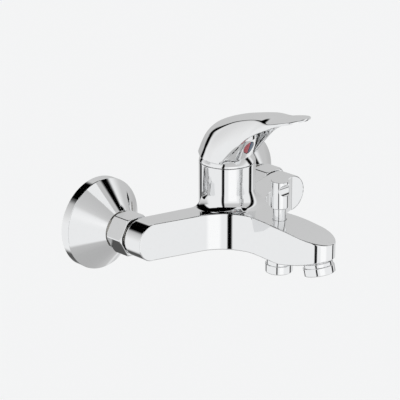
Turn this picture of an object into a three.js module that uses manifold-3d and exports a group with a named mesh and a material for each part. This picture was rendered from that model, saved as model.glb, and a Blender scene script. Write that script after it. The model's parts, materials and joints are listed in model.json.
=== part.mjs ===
// Wall mounted bath faucet with one lever: two S-unions, union nuts and escutcheons carry a cast body
// with a cartridge housing, a spout, a pull-up diverter and a shower outlet.
// Millimetres. X runs along the wall, +Y into the wall, +Z up. The wall's face is Y = 0, and Z = 0 is
// the height of the two inlet axes. "Forward" is the way the spout points, -Y.
import * as THREE from "three";
import { ParametricGeometry } from "three/addons/geometries/ParametricGeometry.js";
import { mergeVertices } from "three/addons/utils/BufferGeometryUtils.js";
import Module from "manifold-3d";

const wasm = await Module();
wasm.setup();

// ---- Driving dimensions -------------------------------------------------------------------------

const gap = 0.3; // between pieces that touch
const chamfer = 0.8; // on turned edges

const inlet = { pitch: 150, threadRadius: 13.2, boreRadius: 7.5 };
const wallPipe = { threadRadius: 10.45, boreRadius: 6.5, reach: 20, drop: 10 };
const unionNut = { acrossFlats: 29.2, length: 16, front: -44.5, flange: 3, edge: 1.4 };
const nutBack = unionNut.front + unionNut.length;
const escutcheon = { radius: 35.8, rim: 7.2, depth: -nutBack - 1.8, wall: 1.3, neckRadius: 15.2 };
const washer = { thickness: 2.5, radius: 12, holeRadius: 8 };
const nipple = { collarRadius: 12.8, collar: 2.5, neckRadius: 10.4, depth: 11 };

const arm = { radius: 14.5, back: -46.5, front: -63.4, backSlope: 0.27, frontSlope: 0.32, blend: 23 };
const arms = { backStraight: 7 }; // how far in from the inlet axis the arm's back stays parallel to the wall
const housing = { y: -65.7, radius: 21.7, top: 47.2, flareTop: 26.5, flare: 9.5 };
const spout = {
  neckHalfWidth: 13.1,
  halfWidth: 15.1,
  widenFrom: -103,
  widenTo: -136,
  tipCentre: -149.5,
  tipReach: 24,
  topBend: -115,
  tipTop: 8.2,
  bottomBend: -132,
  tipBottom: -3.8,
};

const cavity = { floor: 4.5, radius: 17.8, threadRadius: 19.3, shoulder: housing.top - 14.2 };
const pivotHeight = housing.top - 9.2; // the lever's tilt axis above the inlet axes
const dome = { radius: 24, wall: 1.8, mouthRadius: 16, skirt: 4.5 };
const disc = { travel: 5.24, thickness: 4, radius: 11.5 };
const spindle = { side: 9, top: pivotHeight + 28.5, shankRadius: 2.2, ballRadius: 3, ballDrop: pivotHeight - 24 };
const pin = { radius: 1.5, halfLength: 9.3 };
const collar = {
  radius: 10.2,
  bottom: pivotHeight - 9.5,
  top: pivotHeight + 4,
  flange: 2.2,
  flangeRadius: 14,
  slot: 7.5,
};

const outlet = { y: -120.8, chamberRadius: 9.3, chamberTop: 5 };
const seat = { radius: 5, thickness: 1.6 };
const bush = { radius: 5, bottom: 10.3, top: 23.7, boreRadius: 3.9, headThickness: 3.6 };
const rod = { radius: 2, collarRadius: 3.5, collarBottom: 8.1, collarThickness: 1 };
const knob = { radius: 6.9, bottom: 24, top: 45.2, scoopRadius: 5, scoopDepth: 2.8, scoopBelowTop: 6.5 };
const valve = { radius: 7.3, plate: 1.2 };
const shower = { neckRadius: 9.6, neck: 5.6, radius: 10.5, bottom: -27.3, boreRadius: 7, seatTop: -7.5 };
const aerator = {
  y: -160,
  z: -8.4,
  tilt: 14,
  radius: 11.9,
  collarRadius: 11.2,
  collar: 3,
  length: 9.3,
  threadRadius: 10,
  thread: 5,
  boreRadius: 9.2,
  cellRadius: 1.15,
  cellPitch: 3.1,
};

const lever = { wall: 2.2, clearance: 0.4, bossRadius: 8.5, coreWall: 2.4, screwHeight: pivotHeight + 24.8 };
const indexButton = { radius: 4.7, depth: 2.6 };

// ---- Finishes -----------------------------------------------------------------------------------

const finishes = {
  chrome: { color: 0xdfe3e6, roughness: 0.08, metalness: 1 },
  brass: { color: 0xc9a35a, roughness: 0.35, metalness: 1 },
  steel: { color: 0xb9bcc0, roughness: 0.3, metalness: 1 },
  ceramic: { color: 0xf1efe8, roughness: 0.25, metalness: 0 },
  plastic: { color: 0x8c9196, roughness: 0.5, metalness: 0 },
  rubber: { color: 0x1c1c1e, roughness: 0.85, metalness: 0 },
  hot: { color: 0xaa4b55, roughness: 0.3, metalness: 0 },
  cold: { color: 0x1b435d, roughness: 0.3, metalness: 0 },
};

// ---- Shape helpers ------------------------------------------------------------------------------

// A closed three.js geometry as a manifold-3d solid, turned outside out if its faces point inwards.
function solidOf(geometry) {
  const bare = geometry.clone();
  bare.deleteAttribute("normal");
  bare.deleteAttribute("uv");
  const merged = mergeVertices(bare, 1e-4);
  const corners = merged.index.array;
  const build = (flip) => {
    const triVerts = [];
    for (let i = 0; i < corners.length; i += 3) {
      const [a, b, c] = [corners[i], corners[i + 1], corners[i + 2]];
      if (a !== b && b !== c && c !== a) triVerts.push(a, flip ? c : b, flip ? b : c);
    }
    return new wasm.Manifold(
      new wasm.Mesh({
        numProp: 3,
        vertProperties: merged.attributes.position.array,
        triVerts: new Uint32Array(triVerts),
      }),
    );
  };
  const solid = build(false);
  return solid.volume() < 0 ? build(true) : solid;
}

const join = (first, ...rest) => rest.reduce((sum, solid) => sum.add(solid), first);
const cut = (first, ...rest) => rest.reduce((left, solid) => left.subtract(solid), first);
const common = (first, ...rest) => rest.reduce((shared, solid) => shared.intersect(solid), first);

// A solid of revolution about Y from a closed outline of [radius, y] points.
function turnedAboutY(outline, segments = 32) {
  const points = [...outline, outline[0]].map(([radius, along]) => new THREE.Vector2(radius, along));
  return solidOf(new THREE.LatheGeometry(points, segments));
}

// The same about Z, from [radius, z] points.
function turned(outline, segments = 32) {
  const points = [...outline, outline[0]].map(([radius, along]) => new THREE.Vector2(radius, along));
  return solidOf(new THREE.LatheGeometry(points, segments).rotateX(Math.PI / 2));
}

// The outlines of a plain ring and a plain rod.
const ring = (inner, outer, low, high) => [
  [inner, low],
  [outer, low],
  [outer, high],
  [inner, high],
];
const bar = (radius, low, high) => ring(0, radius, low, high);

// A round bar between two points.
function barBetween(from, to, radius, segments = 24) {
  const start = new THREE.Vector3(...from);
  const along = new THREE.Vector3(...to).sub(start);
  const turn = new THREE.Quaternion().setFromUnitVectors(
    new THREE.Vector3(0, 1, 0),
    along.clone().normalize(),
  );
  const middle = start.clone().addScaledVector(along, 0.5);
  const geometry = new THREE.CylinderGeometry(radius, radius, along.length(), segments);
  return solidOf(geometry.applyQuaternion(turn).translate(middle.x, middle.y, middle.z));
}

function box(width, depth, height, centre) {
  return solidOf(new THREE.BoxGeometry(width, depth, height).translate(...centre));
}

// A flat shape pushed out between two levels along an axis. Its own x and y lie along X and Y for "z",
// along Y and Z for "x", and along X and Z for "y".
function pushed(shape, low, high, axis = "z") {
  const geometry = new THREE.ExtrudeGeometry(shape, {
    depth: high - low,
    bevelEnabled: false,
    curveSegments: 12,
  }).translate(0, 0, low);
  const [x, y, z] = [
    new THREE.Vector3(1, 0, 0),
    new THREE.Vector3(0, 1, 0),
    new THREE.Vector3(0, 0, 1),
  ];
  const frames = { x: [y, z, x], y: [x, z, y], z: [x, y, z] };
  return solidOf(geometry.applyMatrix4(new THREE.Matrix4().makeBasis(...frames[axis])));
}

// Goes round a corner of an outline in an arc of the given radius.
function roundCorner(shape, before, corner, after, radius) {
  const at = new THREE.Vector2(...corner);
  const back = new THREE.Vector2(...before).sub(at).normalize();
  const on = new THREE.Vector2(...after).sub(at).normalize();
  const half = Math.acos(THREE.MathUtils.clamp(back.dot(on), -1, 1)) / 2;
  const reach = radius / Math.tan(half);
  const middle = back.clone().add(on).normalize();
  const centre = at.clone().addScaledVector(middle, radius / Math.sin(half));
  const first = at.clone().addScaledVector(back, reach);
  const last = at.clone().addScaledVector(on, reach);
  shape.lineTo(first.x, first.y);
  const startAngle = first.clone().sub(centre).angle();
  const endAngle = last.clone().sub(centre).angle();
  shape.absarc(centre.x, centre.y, radius, startAngle, endAngle, back.cross(on) > 0);
}

// A closed skin through rings of points, capped at the middle of its first and last ring.
function loft(rings) {
  const around = rings[0].length;
  const centreOf = (points) =>
    points.reduce((sum, point) => sum.add(point), new THREE.Vector3()).divideScalar(around);
  const rows = [[centreOf(rings[0])], ...rings, [centreOf(rings.at(-1))]];
  const skin = (u, v, target) => {
    const row = rows[Math.round(v * (rows.length - 1))];
    target.copy(row[Math.round(u * around) % row.length]);
  };
  return solidOf(new ParametricGeometry(skin, around, rows.length - 1));
}

function piece(name, solid, finish) {
  const { vertProperties, triVerts } = solid.getMesh();
  const geometry = new THREE.BufferGeometry()
    .setAttribute("position", new THREE.BufferAttribute(vertProperties, 3))
    .setIndex(new THREE.BufferAttribute(triVerts, 1));
  geometry.computeVertexNormals();
  const mesh = new THREE.Mesh(geometry, new THREE.MeshStandardMaterial(finishes[finish]));
  mesh.name = name;
  return mesh;
}

// ---- Wall connections, in a frame on the inlet's axis ------------------------------------------------

const collarFront = unionNut.front + unionNut.flange + gap;
const collarBack = collarFront + nipple.collar;
const washerFront = collarBack + gap;
const unionFront = washerFront + washer.thickness + gap;

// A thin bell, open to the wall and at its neck.
function escutcheonSolid() {
  const { radius, rim, depth, neckRadius, wall } = escutcheon;
  const slope = Math.atan2(radius - neckRadius, depth - rim);
  const back = wall * Math.tan(slope / 2);
  return turnedAboutY(
    [
      [radius - wall, 0],
      [radius, 0],
      [radius, -rim],
      [neckRadius, -depth],
      [neckRadius - wall, -depth],
      [neckRadius - wall, -depth + back],
      [radius - wall, -rim + back],
    ],
    48,
  );
}

// The eccentric connector: a pipe thread into the wall and, offset upwards, the thread for the nut.
function sUnionSolid() {
  const waist = -4;
  const shoulder = -13;
  const flangeRadius = wallPipe.threadRadius + 1.2;
  const thread = turnedAboutY([
    [0, waist],
    [wallPipe.threadRadius, waist],
    [wallPipe.threadRadius, wallPipe.reach - chamfer],
    [wallPipe.threadRadius - chamfer, wallPipe.reach],
    [0, wallPipe.reach],
  ]).translate([0, 0, -wallPipe.drop]);
  const link = new THREE.Shape();
  link.absarc(0, 0, inlet.threadRadius, 0, Math.PI, false);
  link.absarc(0, -wallPipe.drop, flangeRadius, Math.PI, 2 * Math.PI, false);
  const nose = turnedAboutY([
    [0, unionFront],
    [inlet.threadRadius - chamfer, unionFront],
    [inlet.threadRadius, unionFront + chamfer],
    [inlet.threadRadius, waist],
    [0, waist],
  ]);
  return cut(
    join(thread, pushed(link, shoulder, waist + 1, "y"), nose),
    turnedAboutY(bar(wallPipe.boreRadius, shoulder + 3, wallPipe.reach + 1), 32).translate([
      0,
      0,
      -wallPipe.drop,
    ]),
    turnedAboutY(bar(inlet.boreRadius, unionFront - 1, shoulder + 6), 32),
  );
}

function unionNutSolid() {
  const { acrossFlats, front, length, edge } = unionNut;
  const cornerRadius = acrossFlats / Math.sqrt(3);
  const hexagon = new THREE.Shape(
    Array.from({ length: 6 }, (_, i) => {
      const angle = ((i + 0.5) * Math.PI) / 3;
      return new THREE.Vector2(cornerRadius * Math.cos(angle), cornerRadius * Math.sin(angle));
    }),
  );
  const rounding = turnedAboutY([
    [0, front],
    [cornerRadius - edge, front],
    [cornerRadius, front + edge],
    [cornerRadius, nutBack - edge],
    [cornerRadius - edge, nutBack],
    [0, nutBack],
  ]);
  return cut(
    common(pushed(hexagon, front, nutBack, "y"), rounding),
    turnedAboutY(bar(inlet.threadRadius + gap, front + unionNut.flange, nutBack + 1)),
    turnedAboutY(bar(nipple.neckRadius + gap, front - 1, nutBack)),
  );
}

function nippleSolid() {
  const { collarRadius, neckRadius, depth } = nipple;
  return turnedAboutY(
    [
      [inlet.boreRadius, collarBack],
      [collarRadius, collarBack],
      [collarRadius, collarFront],
      [neckRadius, collarFront],
      [neckRadius, arm.back - depth],
      [inlet.boreRadius, arm.back - depth],
    ],
    40,
  );
}

function wallConnection(side, x) {
  const group = new THREE.Group();
  group.position.x = x;
  const washerRing = ring(washer.holeRadius, washer.radius, washerFront, washerFront + washer.thickness);
  group.add(
    piece("escutcheon_" + side, escutcheonSolid(), "chrome"),
    piece("s_union_" + side, sUnionSolid(), "brass"),
    piece("union_nut_" + side, unionNutSolid(), "chrome"),
    piece("inlet_washer_" + side, turnedAboutY(washerRing, 32), "rubber"),
    piece("inlet_nipple_" + side, nippleSolid(), "brass"),
  );
  return group;
}

// ---- Body --------------------------------------------------------------------------------------------

// The body seen from above: two swept arms that run into the spout, with an oval tip.
function planShape() {
  const end = inlet.pitch / 2 + arm.radius;
  const straight = inlet.pitch / 2 - arms.backStraight;
  const middleBack = arm.back - arm.backSlope * straight;
  const frontAt = (x) => arm.front - arm.frontSlope * (inlet.pitch / 2 - x);
  const { neckHalfWidth, halfWidth, widenFrom, widenTo, tipCentre, tipReach } = spout;
  const armFront = [inlet.pitch / 2, arm.front];
  const crotch = [neckHalfWidth, frontAt(neckHalfWidth)];
  const neckEnd = [neckHalfWidth, widenFrom];
  const mirror = ([x, y]) => [-x, y];

  const shape = new THREE.Shape();
  shape.moveTo(0, middleBack);
  shape.lineTo(-straight, arm.back);
  shape.lineTo(-end, arm.back);
  shape.lineTo(-end, arm.front);
  shape.lineTo(...mirror(armFront));
  roundCorner(shape, mirror(armFront), mirror(crotch), mirror(neckEnd), arm.blend);
  shape.lineTo(...mirror(neckEnd));
  const middleY = (widenFrom + widenTo) / 2;
  shape.bezierCurveTo(-neckHalfWidth, middleY, -halfWidth, middleY, -halfWidth, widenTo);
  shape.lineTo(-halfWidth, tipCentre);
  shape.absellipse(0, tipCentre, halfWidth, tipReach, Math.PI, 2 * Math.PI, false);
  shape.lineTo(halfWidth, widenTo);
  shape.bezierCurveTo(halfWidth, middleY, neckHalfWidth, middleY, ...neckEnd);
  roundCorner(shape, neckEnd, crotch, armFront, arm.blend);
  shape.lineTo(...armFront);
  shape.lineTo(end, arm.front);
  shape.lineTo(end, arm.back);
  shape.lineTo(straight, arm.back);
  return shape;
}

// The body seen from the end of an arm: level arms, and a spout that thins towards its tip.
function sideShape() {
  const tip = spout.tipCentre - spout.tipReach;
  const { topBend, tipTop, bottomBend, tipBottom } = spout;
  const half = arm.radius;
  const shape = new THREE.Shape();
  shape.moveTo(0, -half);
  shape.lineTo(0, half);
  shape.lineTo(topBend, half);
  shape.quadraticCurveTo((topBend + tip) / 2, half, tip - 1, tipTop);
  shape.lineTo(tip - 1, tipBottom);
  shape.quadraticCurveTo(bottomBend - 7, -half, bottomBend, -half);
  return shape;
}

// The body seen from the front: round at both ends.
function frontShape() {
  const reach = inlet.pitch / 2;
  const shape = new THREE.Shape();
  shape.absarc(reach, 0, arm.radius, -Math.PI / 2, Math.PI / 2, false);
  shape.absarc(-reach, 0, arm.radius, Math.PI / 2, (3 * Math.PI) / 2, false);
  return shape;
}

// The upright housing, with a concave flare where it stands on the arms.
function housingSolid(plan) {
  const { y, radius, top, flareTop, flare } = housing;
  const low = arm.radius;
  const steps = 5;
  const curve = Array.from({ length: steps + 1 }, (_, i) => {
    const turn = ((i / steps) * Math.PI) / 2;
    return [
      radius + flare * (1 - Math.sin(turn)),
      flareTop - (flareTop - low) * Math.cos(turn),
    ];
  });
  const flared = turned([[0, low - 1], [radius + flare, low - 1], ...curve, [0, flareTop]], 48);
  const above = common(flared.translate([0, y, 0]), pushed(plan, low - 1, flareTop + 1));
  return join(turned(bar(radius, -low, top), 48).translate([0, y, 0]), above);
}

// The water ways: in from both inlets, up to the cartridge, and out along the spout.
function waterWays() {
  const armLevel = -3;
  const portX = 8;
  const sides = [-1, 1].flatMap((side) => [
    barBetween(
      [(side * inlet.pitch) / 2, arm.back + 1, 0],
      [(side * inlet.pitch) / 2, arm.back - nipple.depth - 2 * gap, 0],
      nipple.neckRadius + gap,
      40,
    ),
    barBetween(
      [(side * inlet.pitch) / 2, (arm.back + arm.front) / 2, 0],
      [side * portX, housing.y - 2, armLevel],
      4.5,
    ),
    barBetween(
      [side * portX, housing.y - 2, armLevel],
      [side * portX, housing.y - 2, cavity.floor + 1],
      3.4,
    ),
  ]);
  const mixedY = housing.y - 10;
  return [
    ...sides,
    barBetween([0, mixedY, -2], [0, mixedY, cavity.floor + 1], 4),
    barBetween([0, mixedY + 3, -2], [0, outlet.y, -2], 4.8),
  ];
}

function bodySolid() {
  const plan = planShape();
  const halfHeight = arm.radius + 1;
  const outside = common(
    pushed(plan, -halfHeight, halfHeight),
    pushed(frontShape(), -200, 0, "y"),
    pushed(sideShape(), -100, 100, "x"),
  );
  const cartridgeHole = turned([
    [0, cavity.floor],
    [cavity.radius, cavity.floor],
    [cavity.radius, cavity.shoulder],
    [cavity.threadRadius, cavity.shoulder],
    [cavity.threadRadius, housing.top + 1],
    [0, housing.top + 1],
  ]).translate([0, housing.y, 0]);
  const seatTop = outlet.chamberTop + seat.thickness;
  const diverterHole = turned([
    [0, -arm.radius - 1],
    [outlet.chamberRadius, -arm.radius - 1],
    [outlet.chamberRadius, outlet.chamberTop],
    [seat.radius, outlet.chamberTop],
    [seat.radius, seatTop],
    [bush.radius + gap, seatTop],
    [bush.radius + gap, arm.radius + 1],
    [0, arm.radius + 1],
  ]).translate([0, outlet.y, 0]);
  const aeratorHole = turned(
    bar(aerator.threadRadius + gap, -3, aerator.thread + washer.thickness),
    40,
  )
    .rotate([-aerator.tilt, 0, 0])
    .translate([0, aerator.y, aerator.z]);
  return cut(
    join(outside, housingSolid(plan)),
    cartridgeHole,
    diverterHole,
    aeratorHole,
    barBetween([0, outlet.y, seatTop + 2.2], [0, aerator.y, aerator.z + 7], 3),
    ...waterWays(),
  );
}

// ---- Cartridge, in a frame on the housing's axis -------------------------------------------------------

const sealThickness = 1;
const baseBottom = cavity.floor + sealThickness + 2 * gap;
const baseTop = baseBottom + 2.7;
const shellBottom = baseTop + gap;
const fixedDiscTop = shellBottom + disc.thickness;
const movingDiscBottom = fixedDiscTop + gap;
const movingDiscTop = movingDiscBottom + disc.thickness;
const carrierBottom = movingDiscTop + gap;
const carrierTop = collar.bottom - 1.2;
const cartridgeRadius = cavity.radius - gap;
const cartridgeBore = 15.2;

// The three ports that line up from the body's floor to the ceramic discs.
function ports(low, high) {
  return [
    barBetween([-8, -2, low], [-8, -2, high], 3.2, 16),
    barBetween([8, -2, low], [8, -2, high], 3.2, 16),
    barBetween([0, -10, low], [0, -10, high], 3.2, 16),
  ];
}

function cartridgeShell() {
  const neckRadius = collar.radius + gap + 2.4;
  return turned([
    [cartridgeBore, shellBottom],
    [cartridgeRadius, shellBottom],
    [cartridgeRadius, cavity.shoulder],
    [neckRadius, cavity.shoulder],
    [neckRadius, collar.top - 2],
    [collar.radius + gap, collar.top - 2],
    [collar.radius + gap, collar.bottom + collar.flange + gap],
    [cartridgeBore, collar.bottom + collar.flange + gap],
  ]);
}

function movingDiscSolid() {
  const pocket = turned(bar(6.2, movingDiscBottom - 1, movingDiscBottom + 2), 24);
  return cut(turned(bar(disc.radius, movingDiscBottom, movingDiscTop), 40), pocket);
}

// Holds the moving disc and is pushed by the spindle's ball, which stands off its centre at rest.
function carrierSolid() {
  const socket = turned(bar(spindle.ballRadius + 0.4, carrierBottom + 2.6, carrierTop + 1), 24);
  return cut(
    turned(bar(disc.radius, carrierBottom, carrierTop), 40),
    socket.translate([0, -disc.travel / 2, 0]),
  );
}

// The swivelling piece that turns with the lever and carries its hinge pin.
function collarSolid() {
  const slotWidth = spindle.side + 2 * gap;
  return cut(
    turned([
      [0, collar.bottom],
      [collar.flangeRadius, collar.bottom],
      [collar.flangeRadius, collar.bottom + collar.flange],
      [collar.radius, collar.bottom + collar.flange],
      [collar.radius, collar.top],
      [0, collar.top],
    ]),
    box(slotWidth, 2 * collar.slot, 40, [0, 0, (collar.bottom + collar.top) / 2]),
    barBetween([-20, 0, pivotHeight], [20, 0, pivotHeight], pin.radius + gap, 16),
  );
}

function spindleSolid() {
  const ball = new THREE.SphereGeometry(spindle.ballRadius, 20, 12);
  const ballHeight = pivotHeight - spindle.ballDrop;
  const blockBottom = pivotHeight - 5;
  const block = box(spindle.side, spindle.side, spindle.top - blockBottom, [
    0,
    0,
    (spindle.top + blockBottom) / 2,
  ]);
  return cut(
    join(
      solidOf(ball.translate(0, 0, ballHeight)),
      barBetween([0, 0, ballHeight], [0, 0, blockBottom + 1], spindle.shankRadius, 16),
      block,
    ),
    barBetween([-20, 0, pivotHeight], [20, 0, pivotHeight], pin.radius + gap, 16),
  );
}

function retainingNutSolid() {
  const outer = cavity.threadRadius - gap;
  const bottom = cavity.shoulder + gap;
  const hexBottom = bottom + 5;
  const top = housing.top - dome.skirt - gap;
  const hexRadius = outer - 0.6;
  const hexagon = new THREE.CylinderGeometry(hexRadius, hexRadius, top - bottom, 6)
    .rotateX(Math.PI / 2)
    .translate(0, 0, (top + bottom) / 2);
  const inside = collar.radius + 2 * gap + 2.4;
  return cut(
    join(solidOf(hexagon), turned(bar(outer, bottom, hexBottom))),
    turned(bar(inside, bottom - 1, top + 1)),
  );
}

// A ball-shaped cap, centred on the tilt axis so that the lever can swing over it.
function domeCapSolid() {
  const { radius, wall, mouthRadius, skirt } = dome;
  const seatHeight = housing.top + gap;
  const skirtRadius = cavity.threadRadius - gap;
  const ballOutline = (ballRadius, fromRadius, toRadius) => {
    const from = Math.asin(fromRadius / ballRadius);
    const to = Math.asin(toRadius / ballRadius);
    return Array.from({ length: 5 }, (_, i) => {
      const angle = from + ((to - from) * i) / 4;
      return [ballRadius * Math.sin(angle), pivotHeight + ballRadius * Math.cos(angle)];
    });
  };
  const widest = Math.sqrt(radius ** 2 - (seatHeight - pivotHeight) ** 2);
  const outerRadius = Math.min(widest, housing.radius);
  const innerRadius = skirtRadius - wall;
  return turned(
    [
      [innerRadius, housing.top - skirt],
      [skirtRadius, housing.top - skirt],
      [skirtRadius, seatHeight],
      [outerRadius, seatHeight],
      ...ballOutline(radius, outerRadius, mouthRadius),
      ...ballOutline(radius - wall, mouthRadius, innerRadius),
    ],
    48,
  );
}

function cartridge() {
  const group = new THREE.Group();
  group.position.y = housing.y;
  const sealBottom = cavity.floor + gap;
  const base = cut(turned(bar(cartridgeRadius, baseBottom, baseTop)), ...ports(0, 20));
  const seal = cut(
    turned(bar(15.5, sealBottom, sealBottom + sealThickness), 40),
    ...ports(0, 20),
  );
  const fixedDisc = cut(
    turned(bar(cartridgeBore - gap, shellBottom, fixedDiscTop), 40),
    ...ports(0, 20),
  );
  const pinBar = barBetween(
    [-pin.halfLength, 0, pivotHeight],
    [pin.halfLength, 0, pivotHeight],
    pin.radius,
    16,
  );
  const slider = new THREE.Group();
  slider.position.y = disc.travel / 2;
  slider.add(
    piece("moving_disc", movingDiscSolid(), "ceramic"),
    piece("disc_carrier", carrierSolid(), "plastic"),
  );
  group.add(
    piece("cartridge_seal", seal, "rubber"),
    piece("cartridge_base", base, "plastic"),
    piece("cartridge_shell", cartridgeShell(), "plastic"),
    piece("fixed_disc", fixedDisc, "ceramic"),
    slider,
    piece("spindle_collar", collarSolid(), "plastic"),
    piece("spindle_pin", pinBar, "steel"),
    piece("spindle", spindleSolid(), "brass"),
    piece("retaining_nut", retainingNutSolid(), "brass"),
    piece("dome_cap", domeCapSolid(), "chrome"),
  );
  return group;
}

// ---- Lever, in a frame on the tilt axis: x sideways, f forward and h up from the pivot ------------------

// Stations from the back of the hood to the tip of the paddle. Each has the sharp edge of the roof,
// the hem of the side below it, how far the side bulges between them, and how high the roof is crowned.
const station = (edge, hem, bulge, crown) => ({ edge, hem, bulge, crown });
const hinge = [18.9, 11.3, 13.5]; // where the hems of the hood fan out from
const leverStations = [
  station([14.2, -16.2, 13.5], hinge, 4.9, 10.2),
  station([13.6, -13.5, 19.6], hinge, 4.6, 9.6),
  station([13.1, -10.6, 25.4], hinge, 4.2, 8.7),
  station([12.7, -4.9, 32.6], hinge, 3.6, 7),
  station([12.5, 4.3, 39], hinge, 3, 5.8),
  station([12.4, 17.3, 46], hinge, 2.2, 4.5),
  station([12.4, 29.3, 50.6], hinge, 1.6, 3.5),
  station([12.6, 39.3, 53.4], hinge, 1.2, 3),
  station([13.2, 46, 54.1], [16.6, 20.5, 23.2], 0.8, 3.4),
  station([14, 50.5, 53.9], [15.6, 33, 36.5], 0.5, 4),
  station([14.8, 54.5, 54], [15.2, 44.5, 44.3], 0.2, 4.4),
  station([15.2, 59, 55], [15, 54.5, 49.6], 0, 4),
  station([14.9, 64, 56.4], [14.7, 62, 53.5], 0, 3.2),
  station([13.6, 69, 57.7], [13.4, 68.2, 55.6], 0, 2.4),
  station([11.2, 74, 58.9], [11, 73.6, 57.1], 0, 1.7),
  station([7, 78.2, 59.9], [6.9, 77.9, 58.4], 0, 1.1),
  station([2.4, 80.2, 60.4], [2.3, 80, 59.1], 0, 0.5),
];
const hollowStations = 11; // the hood is hollow as far as this station

// One ring of the hood, grown outwards by a margin, which is negative for the inside.
function hoodRing(at, margin) {
  const point = ([x, f, h]) => new THREE.Vector3(x, -f, h);
  const edge = point(at.edge);
  const hem = point(at.hem);
  const up = edge.clone().sub(hem).setX(0);
  if (up.length() < 1e-6) up.set(0, 0, 1);
  up.normalize();
  const open = margin < 0 ? new THREE.Vector3(0, -1.6, -1.6) : new THREE.Vector3();
  const sideSteps = 5;
  const roofSteps = 6;
  const right = [];
  for (let i = 0; i < sideSteps; i++) {
    const t = i / sideSteps;
    const side = hem.clone().lerp(edge, t);
    side.x += at.bulge * 4 * t * (1 - t) + margin;
    side.addScaledVector(open, 1 - t).addScaledVector(up, margin * t);
    right.push(side);
  }
  const roof = [];
  for (let i = 0; i <= roofSteps; i++) {
    const across = 1 - (2 * i) / roofSteps;
    const over = edge.clone().setX((edge.x + margin) * across);
    roof.push(over.addScaledVector(up, at.crown * (1 - across ** 2) + margin));
  }
  const left = right.map((p) => new THREE.Vector3(-p.x, p.y, p.z)).reverse();
  return [...right, ...roof, ...left];
}

// Stations between two neighbours, by Catmull-Rom through the ones around them.
function between(stations, steps) {
  const rail = (key) =>
    new THREE.CatmullRomCurve3(
      stations.map((s) => new THREE.Vector3(...s[key])),
      false,
      "catmullrom",
      0.5,
    );
  const edges = rail("edge");
  const hems = rail("hem");
  const shape = new THREE.SplineCurve(stations.map((s) => new THREE.Vector2(s.bulge, s.crown)));
  const count = (stations.length - 1) * steps;
  return Array.from({ length: count + 1 }, (_, i) => {
    const t = i / count;
    const { x: bulge, y: crown } = shape.getPoint(t);
    return station(edges.getPoint(t).toArray(), hems.getPoint(t).toArray(), bulge, crown);
  });
}

const hoodOutside = () => loft(between(leverStations, 2).map((at) => hoodRing(at, 0)));

function hoodSolid() {
  const insideRings = between(leverStations.slice(0, hollowStations), 2).map((at) =>
    hoodRing(at, -lever.wall),
  );
  const foot = insideRings[0].map((p) => p.clone().add(new THREE.Vector3(0, 0, -3)));
  return cut(hoodOutside(), loft([foot, ...insideRings]));
}

// The leaning column under the hood, wide at the dome and narrower where it meets the roof.
function coreSolid(inset) {
  const levels = [
    { centre: 0, radius: 18.7, height: 12 },
    { centre: 0, radius: 18.7, height: 14 },
    { centre: 6.3, radius: 17, height: 25 },
    { centre: 10.6, radius: 15.2, height: 31.5 },
    { centre: 11, radius: 13.2, height: 33 },
  ];
  const count = 32;
  return loft(
    levels.map(({ centre, radius, height }) =>
      Array.from({ length: count }, (_, i) => {
        const angle = (2 * Math.PI * i) / count;
        const reach = radius - inset;
        return new THREE.Vector3(
          reach * Math.cos(angle),
          -centre + reach * Math.sin(angle),
          height - inset,
        );
      }),
    ),
  );
}

const buttonHeight = lever.screwHeight - pivotHeight;

// The button's hole runs straight back; its face follows the leaning column.
function buttonSolid(side) {
  const front = -40;
  const plug = barBetween([0, front, buttonHeight], [0, 0, buttonHeight], indexButton.radius, 32);
  const behind = coreSolid(indexButton.depth);
  const half = box(indexButton.radius * 2, 60, 20, [
    side * (indexButton.radius + gap / 4),
    front / 2,
    buttonHeight,
  ]);
  const flush = cut(common(plug, coreSolid(0)), behind);
  const nearFront = box(20, 30, 30, [0, front + 5, buttonHeight]);
  return common(flush, half, nearFront);
}

function leverSolid() {
  const ballClear = solidOf(
    new THREE.SphereGeometry(dome.radius + lever.clearance, 40, 24).rotateX(Math.PI / 2),
  );
  const boss = common(turned(bar(lever.bossRadius, 20, 45), 32), hoodOutside());
  const socketSide = spindle.side + 2 * gap;
  const socketTop = spindle.top - pivotHeight + gap;
  const socket = box(socketSide, socketSide, socketTop, [0, 0, socketTop / 2]);
  const shell = join(
    hoodSolid(),
    cut(coreSolid(0), coreSolid(lever.coreWall)),
    boss,
  );
  return cut(
    shell,
    ballClear,
    socket,
    barBetween([0, -60, buttonHeight], [0, 0, buttonHeight], 2.5 + gap, 20),
    common(
      barBetween(
        [0, -60, buttonHeight],
        [0, 0, buttonHeight],
        indexButton.radius + gap,
        32,
      ),
      cut(box(40, 60, 40, [0, -45, buttonHeight]), coreSolid(indexButton.depth + gap)),
    ),
  );
}

function leverGroup() {
  const group = new THREE.Group();
  group.position.set(0, housing.y, pivotHeight);
  const screwBack = -spindle.side / 2 - gap;
  const screw = barBetween(
    [0, screwBack, buttonHeight],
    [0, screwBack - 7, buttonHeight],
    2.5,
    20,
  );
  const keyHole = new THREE.CylinderGeometry(1.45, 1.45, 4, 6).translate(0, screwBack - 7, buttonHeight);
  group.add(
    piece("lever", leverSolid(), "chrome"),
    piece("lever_screw", cut(screw, solidOf(keyHole)), "steel"),
    piece("index_button_hot", buttonSolid(-1), "hot"),
    piece("index_button_cold", buttonSolid(1), "cold"),
  );
  return group;
}

// ---- Diverter and shower outlet, in a frame on the outlet's axis ------------------------------------------

const lowerWasherBottom = shower.seatTop + gap;
const valvePlateBottom = lowerWasherBottom + valve.plate + gap;
const upperWasherBottom = valvePlateBottom + valve.plate + gap;
const rodBottom = lowerWasherBottom;

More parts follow.
